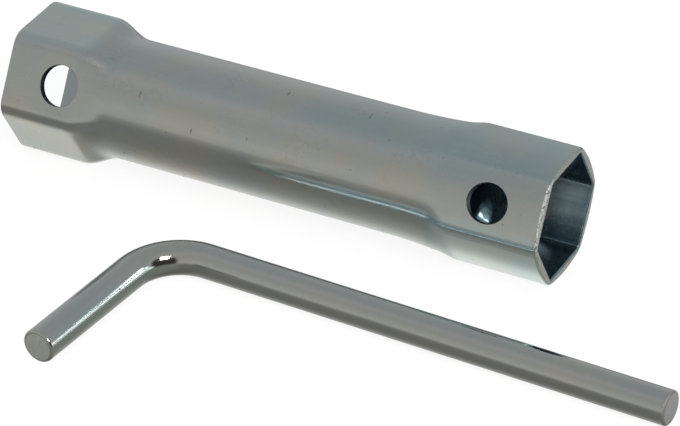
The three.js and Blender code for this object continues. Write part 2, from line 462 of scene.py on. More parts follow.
def wrench_tube():
    """The swaged tube with its rounded rims and punched holes, leaning on its two ends."""
    rings, outside_count = tube_skin()
    lean = math.atan2(
        (OUTSIDE.large.across_flats - OUTSIDE.small.across_flats) / 2,
        WRENCH_LENGTH - RIM_ROUNDING - LARGE_DEPTH,
    )
    leaning = Matrix.Rotation(lean, 4, "Y") @ Matrix.Translation((-WRENCH_LENGTH / 2, 0, 0))
    to_frame = seat_on_node([leaning @ point for ring in rings for point in ring], "wrench_tube") @ leaning
    mesh = bmesh.new()
    _, bands = skin_rings(mesh, rings, True)
    for number, band in enumerate(bands):
        finish = finish_of_band(number, outside_count, len(rings))
        for face in band:
            share = burr_share(face.calc_center_median()) if number < outside_count else 0.0
            face.material_index = CUT_FINISH if share > BURR_BARE_SHARE else finish
    bmesh.ops.recalc_face_normals(mesh, faces=mesh.faces)
    tube = new_object("swaged_tube", mesh)
    small_rim_centre = to_frame @ Vector((WRENCH_LENGTH, 0, 0)) / MM
    for material in (zinc_outside(), zinc_inside_painted_shade(), cut_steel(small_rim_centre), punched_walls_painted_shade()):
        tube.data.materials.append(material)
    punch_holes(tube)
    smooth_with_sharp_edges(tube)
    tube.data.transform(to_frame)
    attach(tube, "wrench")
    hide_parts("wrench_tube")


# Bar

def bar_places():
    """The bar's centre line from the long end to the short one: x, y, heading and radius at each place."""
    radius = BAR_DIAMETER / 2
    between = math.radians(BAR_ANGLE_BETWEEN_LEGS)
    bend = math.pi - between
    bend_start = BAR_BEND_RADIUS / math.tan(between / 2)
    edge = rounded_edge(BAR_END_ROUNDING)
    places = [(BAR_LONG_LEG - from_end, 0.0, math.pi, radius - drawn_in) for from_end, drawn_in in edge]
    long_leg = even_stations(bend_start, BAR_LONG_LEG - BAR_END_ROUNDING, BAR_RING_SPACING)
    places += [(along, 0.0, math.pi, radius) for along in reversed(long_leg)]
    for step in range(BEND_STEPS + 1):
        turned = bend * step / BEND_STEPS
        x = bend_start - BAR_BEND_RADIUS * math.sin(turned)
        y = BAR_BEND_RADIUS * (math.cos(turned) - 1)
        places.append((x, y, math.pi + turned, radius))
    heading = math.pi + bend
    short_leg = even_stations(bend_start, BAR_SHORT_LEG - BAR_END_ROUNDING, BAR_RING_SPACING)
    towards_end = [(along, radius) for along in short_leg]
    towards_end += [(BAR_SHORT_LEG - from_end, radius - drawn_in) for from_end, drawn_in in reversed(edge)]
    for along, wide in towards_end:
        places.append((along * math.cos(heading), along * math.sin(heading), heading, wide))
    return places


def bar_ring(x, y, heading, radius, along):
    """A ring of the bar square to its heading, and the same ring on a straightened bar."""
    ring = []
    straight = []
    for step in range(BAR_STEPS):
        turn = 2 * math.pi * step / BAR_STEPS
        unrolled = Vector((along, radius * math.cos(turn), radius * math.sin(turn)))
        wide = radius - stray((along / DRAWN_STRETCH, unrolled.y, unrolled.z), BAR_WAVE)
        outwards = wide * math.cos(turn)
        ring.append(Vector((
            x - outwards * math.sin(heading),
            y + outwards * math.cos(heading),
            wide * math.sin(turn),
        )))
        straight.append(unrolled)
    return ring, straight


def end_cap(ring, straight, inwards, wave):
    """Rings that close a sheared end, slightly uneven, from the edge to a small middle ring."""
    middle = sum(ring, Vector()) / len(ring)
    straight_middle = sum(straight, Vector()) / len(straight)
    caps = []
    for share in CAP_SHARES:
        cap = []
        straight_cap = []
        for point, unrolled in zip(ring, straight):
            place = middle.lerp(point, share)
            cap.append(place + inwards * (1 - share) * stray(place, wave))
            straight_cap.append(straight_middle.lerp(unrolled, share))
        caps.append((cap, straight_cap))
    return caps


def bar_rings():
    """All rings of the bar with both caps, each with the same ring on a straightened bar."""
    rings = []
    along = 0.0
    before = Vector((BAR_LONG_LEG, 0, 0))
    places = bar_places()
    for x, y, heading, radius in places:
        here = Vector((x, y, 0))
        along += (here - before).length
        before = here
        rings.append(bar_ring(x, y, heading, radius, along))
    last_heading = places[-1][2]
    from_short_end = Vector((-math.cos(last_heading), -math.sin(last_heading), 0))
    long_cap = end_cap(*rings[0], Vector((-1, 0, 0)), LONG_END_WAVE)
    short_cap = end_cap(*rings[-1], from_short_end, SHORT_END_WAVE)
    return list(reversed(long_cap)) + rings + short_cap


def tommy_bar():
    """The bent bar, lying flat, with sheared ends. The shear also dulled the long end's rounding, which is
    darkened with painted shade as well.
    """
    rings = bar_rings()
    turned = Matrix.Rotation(math.radians(BAR_TURN), 4, "Z")
    to_frame = seat_on_node([turned @ point for ring, _ in rings for point in ring], "tommy_bar") @ turned
    mesh = bmesh.new()
    straight_layer = mesh.verts.layers.float_vector.new("straight")
    verts, bands = skin_rings(mesh, [ring for ring, _ in rings], False)
    caps = len(CAP_SHARES)
    sheared = bands[:caps + ROUNDING_STEPS - 1] + bands[-caps:] + [close_ends(mesh, verts)]
    for band in sheared:
        for face in band:
            face.material_index = SHEARED_FINISH
    for ring_verts, (_, straight) in zip(verts, rings):
        for vert, unrolled in zip(ring_verts, straight):
            vert[straight_layer] = unrolled
    bmesh.ops.recalc_face_normals(mesh, faces=mesh.faces)
    bar = new_object("bent_bar", mesh)
    bar.data.materials.append(zinc_bar())
    bar.data.materials.append(sheared_end())
    smooth_with_sharp_edges(bar)
    bar.data.transform(to_frame)
    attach(bar, "bar")
    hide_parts("tommy_bar")


# Materials

# Scattered marks: how far noise moves them about and its scale, the smallest as a share of the largest,
# and the soft edge as a share of the size
SPECK_JITTER = 0.9
SPECK_JITTER_SCALE = 1.6
SPECK_SMALLEST = 0.4
SPECK_SOFTNESS = 0.35

# Plated finishes: three tints from cool to warm, the roughness from the smoothest place to the dullest,
# the share of cells with a mark, and how much the drawing marks darken and lighten the plate
Plate = namedtuple("Plate", "tints gloss mark_share streaks")
TUBE_TINTS = ((0.520, 0.570, 0.592), (0.566, 0.583, 0.572), (0.606, 0.588, 0.540))
BAR_TINTS = ((0.530, 0.552, 0.552), (0.555, 0.563, 0.548), (0.575, 0.562, 0.538))
# The inside's tints are darker than the outside's, which is painted shade inside the tube, and bluish.
SOCKET_PAINTED_SHADE_TINTS = ((0.24, 0.34, 0.41), (0.31, 0.41, 0.46), (0.41, 0.48, 0.48))
TUBE_PLATE = Plate(TUBE_TINTS, (0.12, 0.20), 0.85, 0.02)
BAR_PLATE = Plate(BAR_TINTS, (0.10, 0.16), 0.45, 0.02)
SOCKET_PLATE = Plate(SOCKET_PAINTED_SHADE_TINTS, (0.20, 0.32), 0.5, 0.36)

# What lies on the plate: the tints and shares of stains and dirt, and of pits as against scuffs
STAIN_TINT = (0.30, 0.27, 0.24)
STAIN_SHARE = 0.22
STAIN_WIDTH = 0.022
DIRT_TINT = (0.16, 0.16, 0.15)
DIRT_SHARE = 0.55
DIRT_ROUGHNESS = 0.25
PIT_SHARE = 0.8
PIT_STRENGTH = 0.6

# Depth of the relief in metres
DRAWN_RELIEF = 0.0012 * MM
DIRT_RELIEF = 0.012 * MM
PUNCHED_RELIEF = 0.03 * MM
CUT_RELIEF = 0.4 * MM
SHEARED_RELIEF = 0.02 * MM

# Painted light on the tube's outside, as tints that multiply its colour: towards the small socket a cool
# painted tint on its top and a painted cyan sheen low on its side, brightest at mid-height, and painted
# brightness under both sockets and on top of the large one. Each fades in along the frame and by one or two
# heights, from the first place to the second in millimetres. A third number is the least share.
Tint = namedtuple("Tint", "along heights colour")
LARGE_SOCKET_ALONG = (-51.0, -55.0)
SMALL_SOCKET_ALONG = (16.5, 19.0)
OUTSIDE_PAINTED_LIGHT = (
    Tint((-20.0, 6.0), [(17.0, 21.5, 0.05)], (0.87, 0.96, 0.98)),
    Tint((-12.0, 0.0), [(13.5, 11.5)], (0.97, 1.05, 1.05)),
    Tint((-12.0, 0.0), [(13.8, 12.8), (10.3, 11.3)], (1.04, 1.10, 1.14)),
    Tint(LARGE_SOCKET_ALONG, [(11.3, 10.8)], (1.44, 1.44, 1.40)),
    Tint(LARGE_SOCKET_ALONG, [(23.1, 23.6)], (1.06, 1.13, 1.13)),
    Tint(SMALL_SOCKET_ALONG, [(9.9, 9.4)], (1.22, 1.24, 1.22)),
    Tint(SMALL_SOCKET_ALONG, [(8.0, 3.0)], (1.38, 1.40, 1.38)),
)

# The lighter, plainer colour inside the large socket, with less painted shade: where it fades in along the
# frame, its share and its tint
PLAIN_INSIDE_ALONG = (-30.0, -45.0)
PLAIN_INSIDE_SHARE = 0.9
PLAIN_INSIDE_TINT = (0.47, 0.505, 0.55)

# Where the burr's sparkle fades in, outwards past its start and along towards the rim
BURR_SPARKLE_FADE = 0.4
BURR_SPARKLE_ALONG = (-3.0, -1.0)

# The bar's sheared ends: where the tint turns from one end's to the other's along the straight bar, and the
# duller rounding, darkened with painted shade
ENDS_APART = (20.0, 100.0)
SHEARED_EDGE_FADE = 0.15
SHEARED_EDGE_PAINTED_SHADE = (0.72, 0.70, 0.70)
SHEARED_EDGE_ROUGHNESS = 0.3


class Nodes:
    """A node tree with short ways to add the nodes used here. A value is a socket or a constant."""

    def __init__(self, tree):
        self.tree = tree
        tree.nodes.clear()

    def add(self, kind, **settings):
        made = self.tree.nodes.new(kind)
        for name, value in settings.items():
            setattr(made, name, value)
        return made

    def feed(self, socket, value):
        if isinstance(value, bpy.types.NodeSocket):
            self.tree.links.new(value, socket)
        else:
            socket.default_value = value

    def vector_math(self, operation, *vectors):
        """A vector operation. A dot product and a length give a number."""
        made = self.add("ShaderNodeVectorMath", operation=operation)
        for socket, vector in zip(made.inputs, vectors):
            self.feed(socket, vector)
        return made.outputs["Value" if operation in ("DOT_PRODUCT", "LENGTH") else "Vector"]

    def dot(self, vector, direction):
        return self.vector_math("DOT_PRODUCT", vector, direction)

    def stretched(self, vector, scale):
        return self.vector_math("MULTIPLY", vector, scale)

    def noise(self, vector, scale, detail=2.0, rough=0.5, output="Fac"):
        made = self.add("ShaderNodeTexNoise")
        self.feed(made.inputs["Vector"], vector)
        made.inputs["Scale"].default_value = scale
        made.inputs["Detail"].default_value = detail
        made.inputs["Roughness"].default_value = rough
        return made.outputs[output]

    def math(self, operation, first, second=0.0):
        made = self.add("ShaderNodeMath", operation=operation)
        self.feed(made.inputs[0], first)
        self.feed(made.inputs[1], second)
        return made.outputs["Value"]

    def product(self, first, *others):
        for other in others:
            first = self.math("MULTIPLY", first, other)
        return first

    def scaled(self, value, low, high, to_low, to_high, interpolation="LINEAR"):
        """A straight change of range, which stops at both ends."""
        made = self.add("ShaderNodeMapRange", interpolation_type=interpolation)
        limits = {"From Min": low, "From Max": high, "To Min": to_low, "To Max": to_high}
        for name, limit in limits.items():
            made.inputs[name].default_value = limit
        self.feed(made.inputs["Value"], value)
        return made.outputs["Result"]

    def fade(self, value, low, high, to_low=0.0, to_high=1.0):
        """A smooth step of a value from low to high."""
        return self.scaled(value, low, high, to_low, to_high, "SMOOTHSTEP")

    def ramp(self, value, stops):
        """A colour by a value, from (place, (r, g, b)) stops with places from 0 to 1."""
        made = self.add("ShaderNodeValToRGB")
        self.feed(made.inputs["Fac"], value)
        elements = made.color_ramp.elements
        while len(elements) < len(stops):
            elements.new(0.5)
        for element, (place, colour) in zip(elements, stops):
            element.position = place
            element.color = (*colour, 1)
        return made.outputs["Color"]

    def mix(self, share, first, second, blend="MIX"):
        made = self.add("ShaderNodeMix", data_type="RGBA", blend_type=blend)
        colours = [socket for socket in made.inputs if socket.type == "RGBA"]
        self.feed(made.inputs["Factor"], share)
        for socket, colour in zip(colours, (first, second)):
            self.feed(socket, colour if isinstance(colour, bpy.types.NodeSocket) else (*colour, 1))
        return [socket for socket in made.outputs if socket.type == "RGBA"][0]

    def bump(self, height, distance, normal=None):
        made = self.add("ShaderNodeBump")
        made.inputs["Strength"].default_value = 1.0
        made.inputs["Distance"].default_value = distance
        self.feed(made.inputs["Height"], height)
        if normal:
            self.feed(made.inputs["Normal"], normal)
        return made.outputs["Normal"]


def new_material(name):
    """An empty material and its nodes."""
    made = bpy.data.materials.new(name)
    made.use_nodes = True
    return made, Nodes(made.node_tree)


def place_in_millimetres(nodes):
    """Where a point is in the frame, in millimetres."""
    place = nodes.add("ShaderNodeTexCoord").outputs["Object"]
    return nodes.stretched(place, (1 / MM, 1 / MM, 1 / MM))


def place_on_straight_bar(nodes):
    """Where a point would be if the bar were straight, in millimetres."""
    return nodes.add("ShaderNodeAttribute", attribute_name="straight").outputs["Vector"]


def specks(nodes, place, cell, size, share):
    """Small scattered marks up to a size, in a share of the cells: 1 on a mark and 0 elsewhere."""
    jitter = nodes.noise(place, SPECK_JITTER_SCALE, output="Color")
    cells = nodes.add("ShaderNodeTexVoronoi", feature="F1")
    nodes.feed(cells.inputs["Vector"], nodes.vector_math("MULTIPLY_ADD", jitter, [SPECK_JITTER] * 3, place))
    cells.inputs["Scale"].default_value = 1 / cell
    chance = nodes.add("ShaderNodeSeparateColor")
    nodes.feed(chance.inputs["Color"], cells.outputs["Color"])
    kept = nodes.math("LESS_THAN", chance.outputs["Red"], share)
    radius = nodes.scaled(chance.outputs["Green"], 0, 1, SPECK_SMALLEST * size / cell, size / cell)
    inside = nodes.math("SUBTRACT", radius, cells.outputs["Distance"])
    return nodes.product(kept, nodes.fade(inside, 0.0, SPECK_SOFTNESS * size / cell))


def metal(nodes, colour, roughness, normal):
    """The metal shader and the material's output."""
    shader = nodes.add("ShaderNodeBsdfPrincipled")
    shader.inputs["Metallic"].default_value = 1.0
    nodes.feed(shader.inputs["Base Color"], colour)
    nodes.feed(shader.inputs["Roughness"], roughness)
    nodes.feed(shader.inputs["Normal"], normal)
    output = nodes.add("ShaderNodeOutputMaterial")
    nodes.feed(output.inputs["Surface"], shader.outputs["BSDF"])


def plated(nodes, place, plate):
    """Bright zinc plate over drawn steel: cloudy tints, faint marks along the length, stains and scuffs.

    Returns the colour, the roughness and the normal.
    """
    clouds = nodes.noise(place, scale=0.09, detail=3.0, rough=0.55)
    drawn = nodes.noise(nodes.stretched(place, (0.035, 1.0, 1.0)), scale=0.9, detail=3.0, rough=0.6)
    grain = nodes.noise(place, scale=4.0, detail=2.0, rough=0.6)
    streak = nodes.scaled(drawn, 0.25, 0.75, 1 - plate.streaks, 1 + plate.streaks)
    speckle = nodes.scaled(grain, 0.2, 0.8, 0.96, 1.04)
    colour = nodes.ramp(clouds, list(zip((0.30, 0.5, 0.70), plate.tints)))
    colour = nodes.vector_math("MULTIPLY", colour, nodes.product(streak, speckle))

    wandering = nodes.noise(place, scale=0.4, detail=4.0, rough=0.65)
    from_vein = nodes.math("ABSOLUTE", nodes.math("SUBTRACT", wandering, 0.5))
    stained = nodes.fade(nodes.noise(place, scale=0.13, detail=1.0), 0.52, 0.66, 0.0, STAIN_SHARE)
    stains = nodes.product(nodes.fade(from_vein, STAIN_WIDTH, 0.0), stained, plate.mark_share)
    colour = nodes.mix(stains, colour, STAIN_TINT)

    scuffs = specks(nodes, nodes.stretched(place, (1.7, 0.6, 0.6)), 3.6, 0.42, plate.mark_share)
    pits = specks(nodes, nodes.stretched(place, (0.5, 1.0, 1.0)), 2.6, 0.16, plate.mark_share * PIT_SHARE)
    dirt = nodes.math("MAXIMUM", scuffs, nodes.product(pits, PIT_STRENGTH))
    colour = nodes.mix(nodes.product(dirt, DIRT_SHARE), colour, DIRT_TINT)
    mottle = nodes.noise(place, scale=0.25, detail=4.0, rough=0.6)
    roughness = nodes.scaled(mottle, 0.3, 0.7, *plate.gloss)
    roughness = nodes.math("ADD", roughness, nodes.product(dirt, DIRT_ROUGHNESS))
    relief = nodes.bump(drawn, DRAWN_RELIEF)
    relief = nodes.bump(nodes.product(dirt, -1.0), DIRT_RELIEF, relief)
    return colour, roughness, relief


def zinc_outside():
    """The outside of the tube, with painted light on its top, on its side and under both sockets."""
    made, nodes = new_material("tube_zinc")
    place = place_in_millimetres(nodes)
    colour, roughness, relief = plated(nodes, place, TUBE_PLATE)
    along = nodes.dot(place, (1, 0, 0))
    height = nodes.dot(place, (0, 0, 1))
    # Painted light: brighter undersides, a brighter top flat and a cool top, tinted into the plate by
    # height
    for tint in OUTSIDE_PAINTED_LIGHT:
        by_height = [nodes.fade(height, *places) for places in tint.heights]
        share = nodes.product(nodes.fade(along, *tint.along), *by_height)
        colour = nodes.mix(share, colour, tint.colour, "MULTIPLY")
    metal(nodes, colour, roughness, relief)
    return made


def zinc_bar():
    """The bar's plate, a little glossier and with fewer marks."""
    made, nodes = new_material("bar_zinc")
    metal(nodes, *plated(nodes, place_on_straight_bar(nodes), BAR_PLATE))
    return made


def zinc_inside_painted_shade():
    """The inside: darkened with painted shade, bluish and streaked along the length, and lighter and
    plainer in the large socket.
    """
    made, nodes = new_material("socket_zinc_painted_shade")
    place = place_in_millimetres(nodes)
    colour, roughness, relief = plated(nodes, place, SOCKET_PLATE)
    along = nodes.dot(place, (1, 0, 0))
    plain = nodes.fade(along, *PLAIN_INSIDE_ALONG, 0.0, PLAIN_INSIDE_SHARE)
    metal(nodes, nodes.mix(plain, colour, PLAIN_INSIDE_TINT), roughness, relief)
    return made


def punched_walls_painted_shade():
    """The walls of the punched holes: near black with painted shade, and dull."""
    made, nodes = new_material("punched_walls_painted_shade")
    tears = nodes.noise(place_in_millimetres(nodes), scale=1.8, detail=3.0, rough=0.6)
    # Painted shade: the near-black navy stands in for the shade inside the holes
    colour = nodes.ramp(tears, [(0.35, (0.07, 0.09, 0.12)), (0.65, (0.15, 0.18, 0.21))])
    metal(nodes, colour, nodes.scaled(tears, 0.3, 0.7, 0.3, 0.42), nodes.bump(tears, PUNCHED_RELIEF))
    return made


def cut_steel(small_rim_centre):
    """The sawn rims: plain and dull, but for the burr on the small one's front side, which sparkles."""
    made, nodes = new_material("cut_steel")
    place = place_in_millimetres(nodes)
    from_centre = nodes.vector_math("SUBTRACT", place, small_rim_centre)
    outwards = nodes.dot(from_centre, (0, math.cos(HOLE_FLAT), math.sin(HOLE_FLAT)))
    across = nodes.dot(from_centre, (0, -math.sin(HOLE_FLAT), math.cos(HOLE_FLAT)))
    crown = nodes.product(across, across, 0.5 / SMALL_SIDE_RADIUS)
    from_axis = nodes.math("ADD", outwards, crown)
    near_end = nodes.fade(nodes.dot(from_centre, (1, 0, 0)), *BURR_SPARKLE_ALONG)
    on_edge = nodes.fade(from_axis, BURR_FROM_AXIS, BURR_FROM_AXIS + BURR_SPARKLE_FADE)
    burr = nodes.product(on_edge, near_end)
    chips = nodes.noise(place, scale=2.2, detail=3.0, rough=0.65)
    dull = nodes.ramp(chips, [(0.35, (0.52, 0.52, 0.50)), (0.65, (0.62, 0.62, 0.60))])
    bright = nodes.ramp(chips, [(0.34, (0.40, 0.40, 0.38)), (0.50, (0.97, 0.97, 0.94))])
    depth = nodes.product(chips, nodes.scaled(burr, 0, 1, 0.06, 1.0))
    roughness = nodes.scaled(chips, 0.3, 0.7, 0.22, 0.36)
    metal(nodes, nodes.mix(burr, dull, bright), roughness, nodes.bump(depth, CUT_RELIEF))
    return made


def sheared_end():
    """The bar's sheared ends: dull, with faint tears, pinkish at the long end, greenish at the short, where
    the much brighter colour is painted light. The rounding is darkened with painted shade.
    """
    made, nodes = new_material("sheared_end")
    place = place_on_straight_bar(nodes)
    tears = nodes.noise(nodes.stretched(place, (1.0, 1.0, 0.3)), scale=2.4, detail=4.0, rough=0.6)
    pink = nodes.ramp(tears, [(0.3, (0.64, 0.61, 0.62)), (0.7, (0.74, 0.70, 0.72))])
    # Painted light: the short end is coloured far brighter than the long one
    green = nodes.ramp(tears, [(0.3, (0.84, 0.89, 0.84)), (0.7, (0.94, 0.98, 0.93))])
    colour = nodes.mix(nodes.fade(nodes.dot(place, (1, 0, 0)), *ENDS_APART), pink, green)
    from_axis = nodes.vector_math("LENGTH", nodes.stretched(place, (0.0, 1.0, 1.0)))
    flat_radius = BAR_DIAMETER / 2 - BAR_END_ROUNDING
    on_edge = nodes.fade(from_axis, flat_radius, flat_radius + SHEARED_EDGE_FADE)
    # Painted shade: the rounding round the end face is coloured darker
    colour = nodes.mix(on_edge, colour, SHEARED_EDGE_PAINTED_SHADE, "MULTIPLY")
    roughness = nodes.scaled(tears, 0.3, 0.7, 0.34, 0.46)
    roughness = nodes.math("ADD", roughness, nodes.product(on_edge, SHEARED_EDGE_ROUGHNESS))
    metal(nodes, colour, roughness, nodes.bump(tears, SHEARED_RELIEF))
    return made


# Studio

CAMERA_AIM = (-0.00775, 0.023945, 0.0)
CAMERA_AZIMUTH = 28.2941
CAMERA_ELEVATION = 33.0346
CAMERA_ROLL = -1.1477
CAMERA_DISTANCE = 0.66404
CAMERA_LENS = 203.68
CAMERA_NEAREST = 0.01
SENSOR_WIDTH = 36.0

# Lamps, all at one distance: where each one is and how wide and high it looks from the object, in degrees,
# its brightness and colour, and whether the metal mirrors it. The two that it doesn't mirror only fill,
# so that a plain colour shows as it is.
Lamp = namedtuple("Lamp", "name azimuth elevation roll wide high brightness colour mirrored")
LAMP_DISTANCE = 1.2
LAMPS = (
    Lamp("key", 60, 38, 0, 18, 14, 14.0, (1.0, 0.99, 0.97), True),
    Lamp("side", 119, 2.7, -35, 30, 10, 1.45, (0.93, 1.0, 0.99), True),
    Lamp("front_fill", 20, 25, 0, 50, 50, 1.95, (1.0, 1.0, 1.0), False),
    Lamp("top_fill", 0, 85, 0, 50, 50, 0.85, (1.0, 1.0, 1.0), False),
)

FLOOR_SIZE = 3.0
FLOOR_GLOW = 0.88
FLOOR_COLOUR = (0.16, 0.16, 0.16)
FLOOR_SHADE_COLOUR = (0.03, 0.03, 0.03)

# The soft shadow behind the wrench, in millimetres: how far it slants, where it starts and ends along the
# wrench and away from it, where it deepens towards the small socket, and how deep it is there and, as a
# share of that, elsewhere
SHADOW_SLANT = 0.4675
SHADOW_ALONG = (-55.0, -25.0, 44.5, 47.5)
SHADOW_AWAY = (22.0, 30.0, 45.0, 57.0)
SHADOW_DEEPENS = (-15.0, 40.0)
SHADOW_DEPTH = 0.96
SHADOW_SHALLOW = 0.4

# How far the pieces darken the ground that they mirror: the reach in metres, and the share taken from the
# bar's own mirror image and from what one piece shows in the other, with where each fades in towards the
# back, in millimetres
CONTACT_REACH = 0.011
CONTACT_DEPTH = 0.5
CONTACT_AWAY = (10.0, 5.0)
SECOND_CONTACT_DEPTH = 0.9
SECOND_CONTACT_AWAY = (8.5, 12.0)

# Greys of the studio: the place, the level, and how warm it is. The ground runs from the front to the
# back, and the cool and the warm side run upwards.
GROUND_GREYS = (
    (0.0, 0.232, 0.08),
    (0.2, 0.272, 0.06),
    (0.4, 0.367, 0.06),
    (0.55, 0.456, 0.05),
    (0.7, 0.60, 0.05),
    (0.86, 0.70, 0.04),
    (1.0, 0.73, 0.03),
)
COOL_GREYS = (
    (0.0, 0.35, -0.04),
    (0.2, 0.43, -0.04),
    (0.3, 0.49, -0.04),
    (0.59, 0.455, -0.04),
    (0.79, 0.405, -0.07),
    (0.96, 0.385, -0.08),
)
WARM_GREYS = (
    (0.0, 0.49, 0.07),
    (0.13, 0.505, 0.07),
    (0.48, 0.435, 0.07),
    (0.64, 0.415, 0.05),
    (0.84, 0.445, 0.0),
    (0.95, 0.405, -0.06),
)

# What departs from those greys: a brighter ground on the right, a glare on the ground behind, an unlit
# patch beside the key lamp, and a dimmer sky on the right and low down behind
GROUND_RIGHT_GAIN = (1.19, 1.34, 1.31)
GLARE = (0.10, 0.11, 0.10)
GLARE_AZIMUTH = -148
GLARE_ELEVATION = -34
UNLIT_LEVEL = 0.04
UNLIT_AZIMUTH = 62
UNLIT_ELEVATION = 12
SKY_RIGHT_GAIN = (0.86, 0.93, 0.94)
SKY_SHADE_GAIN = (0.68, 0.68, 0.68)

# The horizon, which is lower behind, and the two steps from the ground to the sky, with their shares
HORIZON_DROP = 0.36
LOW_STEP = (-0.295, -0.125)
LOW_STEP_SHARE = 0.33
HIGH_STEP = (-0.125, -0.015)
HIGH_STEP_SHARE = 0.67

# How much brighter each part of the studio is in what one piece shows in the other, and the light on its
# right, which the tube throws on the bar's short leg
SECOND_GAIN_FRONT_GROUND = (1.0, 1.03, 1.08)
SECOND_GAIN_FRONT_SKY = (1.6, 1.62, 1.68)
SECOND_GAIN_SKY = (1.12, 1.4, 1.53)
SECOND_GAIN_GROUND = (2.2, 2.45, 2.65)
SECOND_GAIN_LEFT = (0.6, 0.8, 0.87)
SECOND_LIGHT_RIGHT = (1.85, 2.05, 2.05)
SECOND_BOUNCE = 1.5

# A direction from the object into the studio, and its parts to the right, to the back and up
Way = namedtuple("Way", "towards right behind up")


def direction(azimuth, elevation):
    """The direction at an azimuth, in degrees to the right of the front (-Y), and an elevation."""
    across, up = math.radians(azimuth), math.radians(elevation)
    return Vector((math.sin(across) * math.cos(up), -math.cos(across) * math.cos(up), math.sin(up)))


def facing(aim, azimuth, elevation, roll, distance):
    """The placement of a camera or lamp that looks at a point from a direction and a distance."""
    towards = direction(azimuth, elevation)
    level = towards.to_track_quat("Z", "Y").to_matrix().to_4x4()
    rolled = Matrix.Rotation(math.radians(roll), 4, "Z")
    return Matrix.Translation(Vector(aim) + towards * distance) @ level @ rolled


def place_camera():
    """The camera that took the photograph."""
    data = bpy.data.cameras.new("photo_camera")
    data.sensor_width = SENSOR_WIDTH
    data.sensor_fit = "HORIZONTAL"
    data.lens = CAMERA_LENS
    data.clip_start = CAMERA_NEAREST
    camera = add_object("photo_camera", data)
    camera.matrix_world = facing(CAMERA_AIM, CAMERA_AZIMUTH, CAMERA_ELEVATION, CAMERA_ROLL, CAMERA_DISTANCE)
    bpy.context.scene.camera = camera


def lights():
    """The rectangular lamps, none of which the camera sees."""
    for lamp in LAMPS:
        data = bpy.data.lights.new(lamp.name, "AREA")
        data.shape = "RECTANGLE"
        data.size = 2 * LAMP_DISTANCE * math.tan(math.radians(lamp.wide) / 2)
        data.size_y = 2 * LAMP_DISTANCE * math.tan(math.radians(lamp.high) / 2)
        data.energy = lamp.brightness * math.pi * data.size * data.size_y
        data.color = lamp.colour
        made = add_object(lamp.name, data)
        made.matrix_world = facing((0, 0, 0), lamp.azimuth, lamp.elevation, lamp.roll, LAMP_DISTANCE)
        made.visible_camera = False
        made.visible_glossy = lamp.mirrored


def second_reflection(nodes, path):
    """1 for what one piece shows in the other, and 0 for everything else."""
    return nodes.math("GREATER_THAN", path.outputs["Glossy Depth"], SECOND_BOUNCE)


def floor_shadow(nodes, place):
    """How deep the soft shadow is at a place, from 0 to 1."""
    along = nodes.dot(place, (1, SHADOW_SLANT, 0))
    away = nodes.dot(place, (0, 1, 0))
    shares = [nodes.fade(along, *SHADOW_DEEPENS, SHADOW_SHALLOW, 1.0)]
    for value, (start, dark, still_dark, end) in ((along, SHADOW_ALONG), (away, SHADOW_AWAY)):
        shares.append(nodes.fade(value, start, dark))
        shares.append(nodes.fade(value, end, still_dark))
    return nodes.product(*shares)


def floor_to_the_eye(nodes, place, path):
    """The floor's pale shader, which glows for the camera alone."""
    shadow = floor_shadow(nodes, place)
    lit = nodes.scaled(shadow, 0, 1, 1, 1 - SHADOW_DEPTH)
    glow = nodes.add("ShaderNodeEmission")
    nodes.feed(glow.inputs["Strength"], nodes.product(path.outputs["Is Camera Ray"], FLOOR_GLOW, lit))
    matt = nodes.add("ShaderNodeBsdfDiffuse")
    nodes.feed(matt.inputs["Color"], nodes.mix(shadow, FLOOR_COLOUR, FLOOR_SHADE_COLOUR))
    pale = nodes.add("ShaderNodeAddShader")
    nodes.feed(pale.inputs[0], glow.outputs["Emission"])
    nodes.feed(pale.inputs[1], matt.outputs["BSDF"])
    return pale.outputs["Shader"]


def floor_to_the_metal(nodes, place, path):
    """A clear shader, darkened where the pieces lie close."""
    away = nodes.dot(place, (0, 1, 0))
    depth = nodes.add("ShaderNodeMix", data_type="FLOAT")
    nodes.feed(depth.inputs["Factor"], second_reflection(nodes, path))
    nodes.feed(depth.inputs["A"], nodes.fade(away, *CONTACT_AWAY, 0.0, CONTACT_DEPTH))
    nodes.feed(depth.inputs["B"], nodes.fade(away, *SECOND_CONTACT_AWAY, 0.0, SECOND_CONTACT_DEPTH))
    openness = nodes.add("ShaderNodeAmbientOcclusion")
    openness.inputs["Distance"].default_value = CONTACT_REACH
    closed = nodes.math("SUBTRACT", 1.0, openness.outputs["AO"])
    shade = nodes.product(closed, depth.outputs["Result"])
    clear = nodes.add("ShaderNodeBsdfTransparent")
    nodes.feed(clear.inputs["Color"], nodes.math("SUBTRACT", 1.0, shade))
    return clear.outputs["BSDF"]


def floor():
    """A pale floor, white to the camera but for soft shadows. The metal looks through it to the ground of
    the studio, which the pieces darken where they lie close."""
    half = FLOOR_SIZE / 2
    mesh = bmesh.new()
    corners = [(-half, -half, 0), (half, -half, 0), (half, half, 0), (-half, half, 0)]
    mesh.faces.new([mesh.verts.new(corner) for corner in corners])
    made = new_object("floor", mesh)
    material, nodes = new_material("pale_floor")
    path = nodes.add("ShaderNodeLightPath")
    place = place_in_millimetres(nodes)
    both = nodes.add("ShaderNodeMixShader")
    nodes.feed(both.inputs["Fac"], path.outputs["Is Glossy Ray"])
    nodes.feed(both.inputs[1], floor_to_the_eye(nodes, place, path))
    nodes.feed(both.inputs[2], floor_to_the_metal(nodes, place, path))
    nodes.feed(nodes.add("ShaderNodeOutputMaterial").inputs["Surface"], both.outputs["Shader"])
    made.data.materials.append(material)
    made.visible_shadow = False


def grey(level, warmth=0.0):
    """A grey with some of its blue taken out or, below 0, some of its red."""
    return (level * (1 + min(warmth, 0.0)), level, level * (1 - max(warmth, 0.0)))


def grey_ramp(nodes, value, greys):
    """A ramp of greys by a value from 0 to 1."""
    return nodes.ramp(value, [(place, grey(level, warmth)) for place, level, warmth in greys])


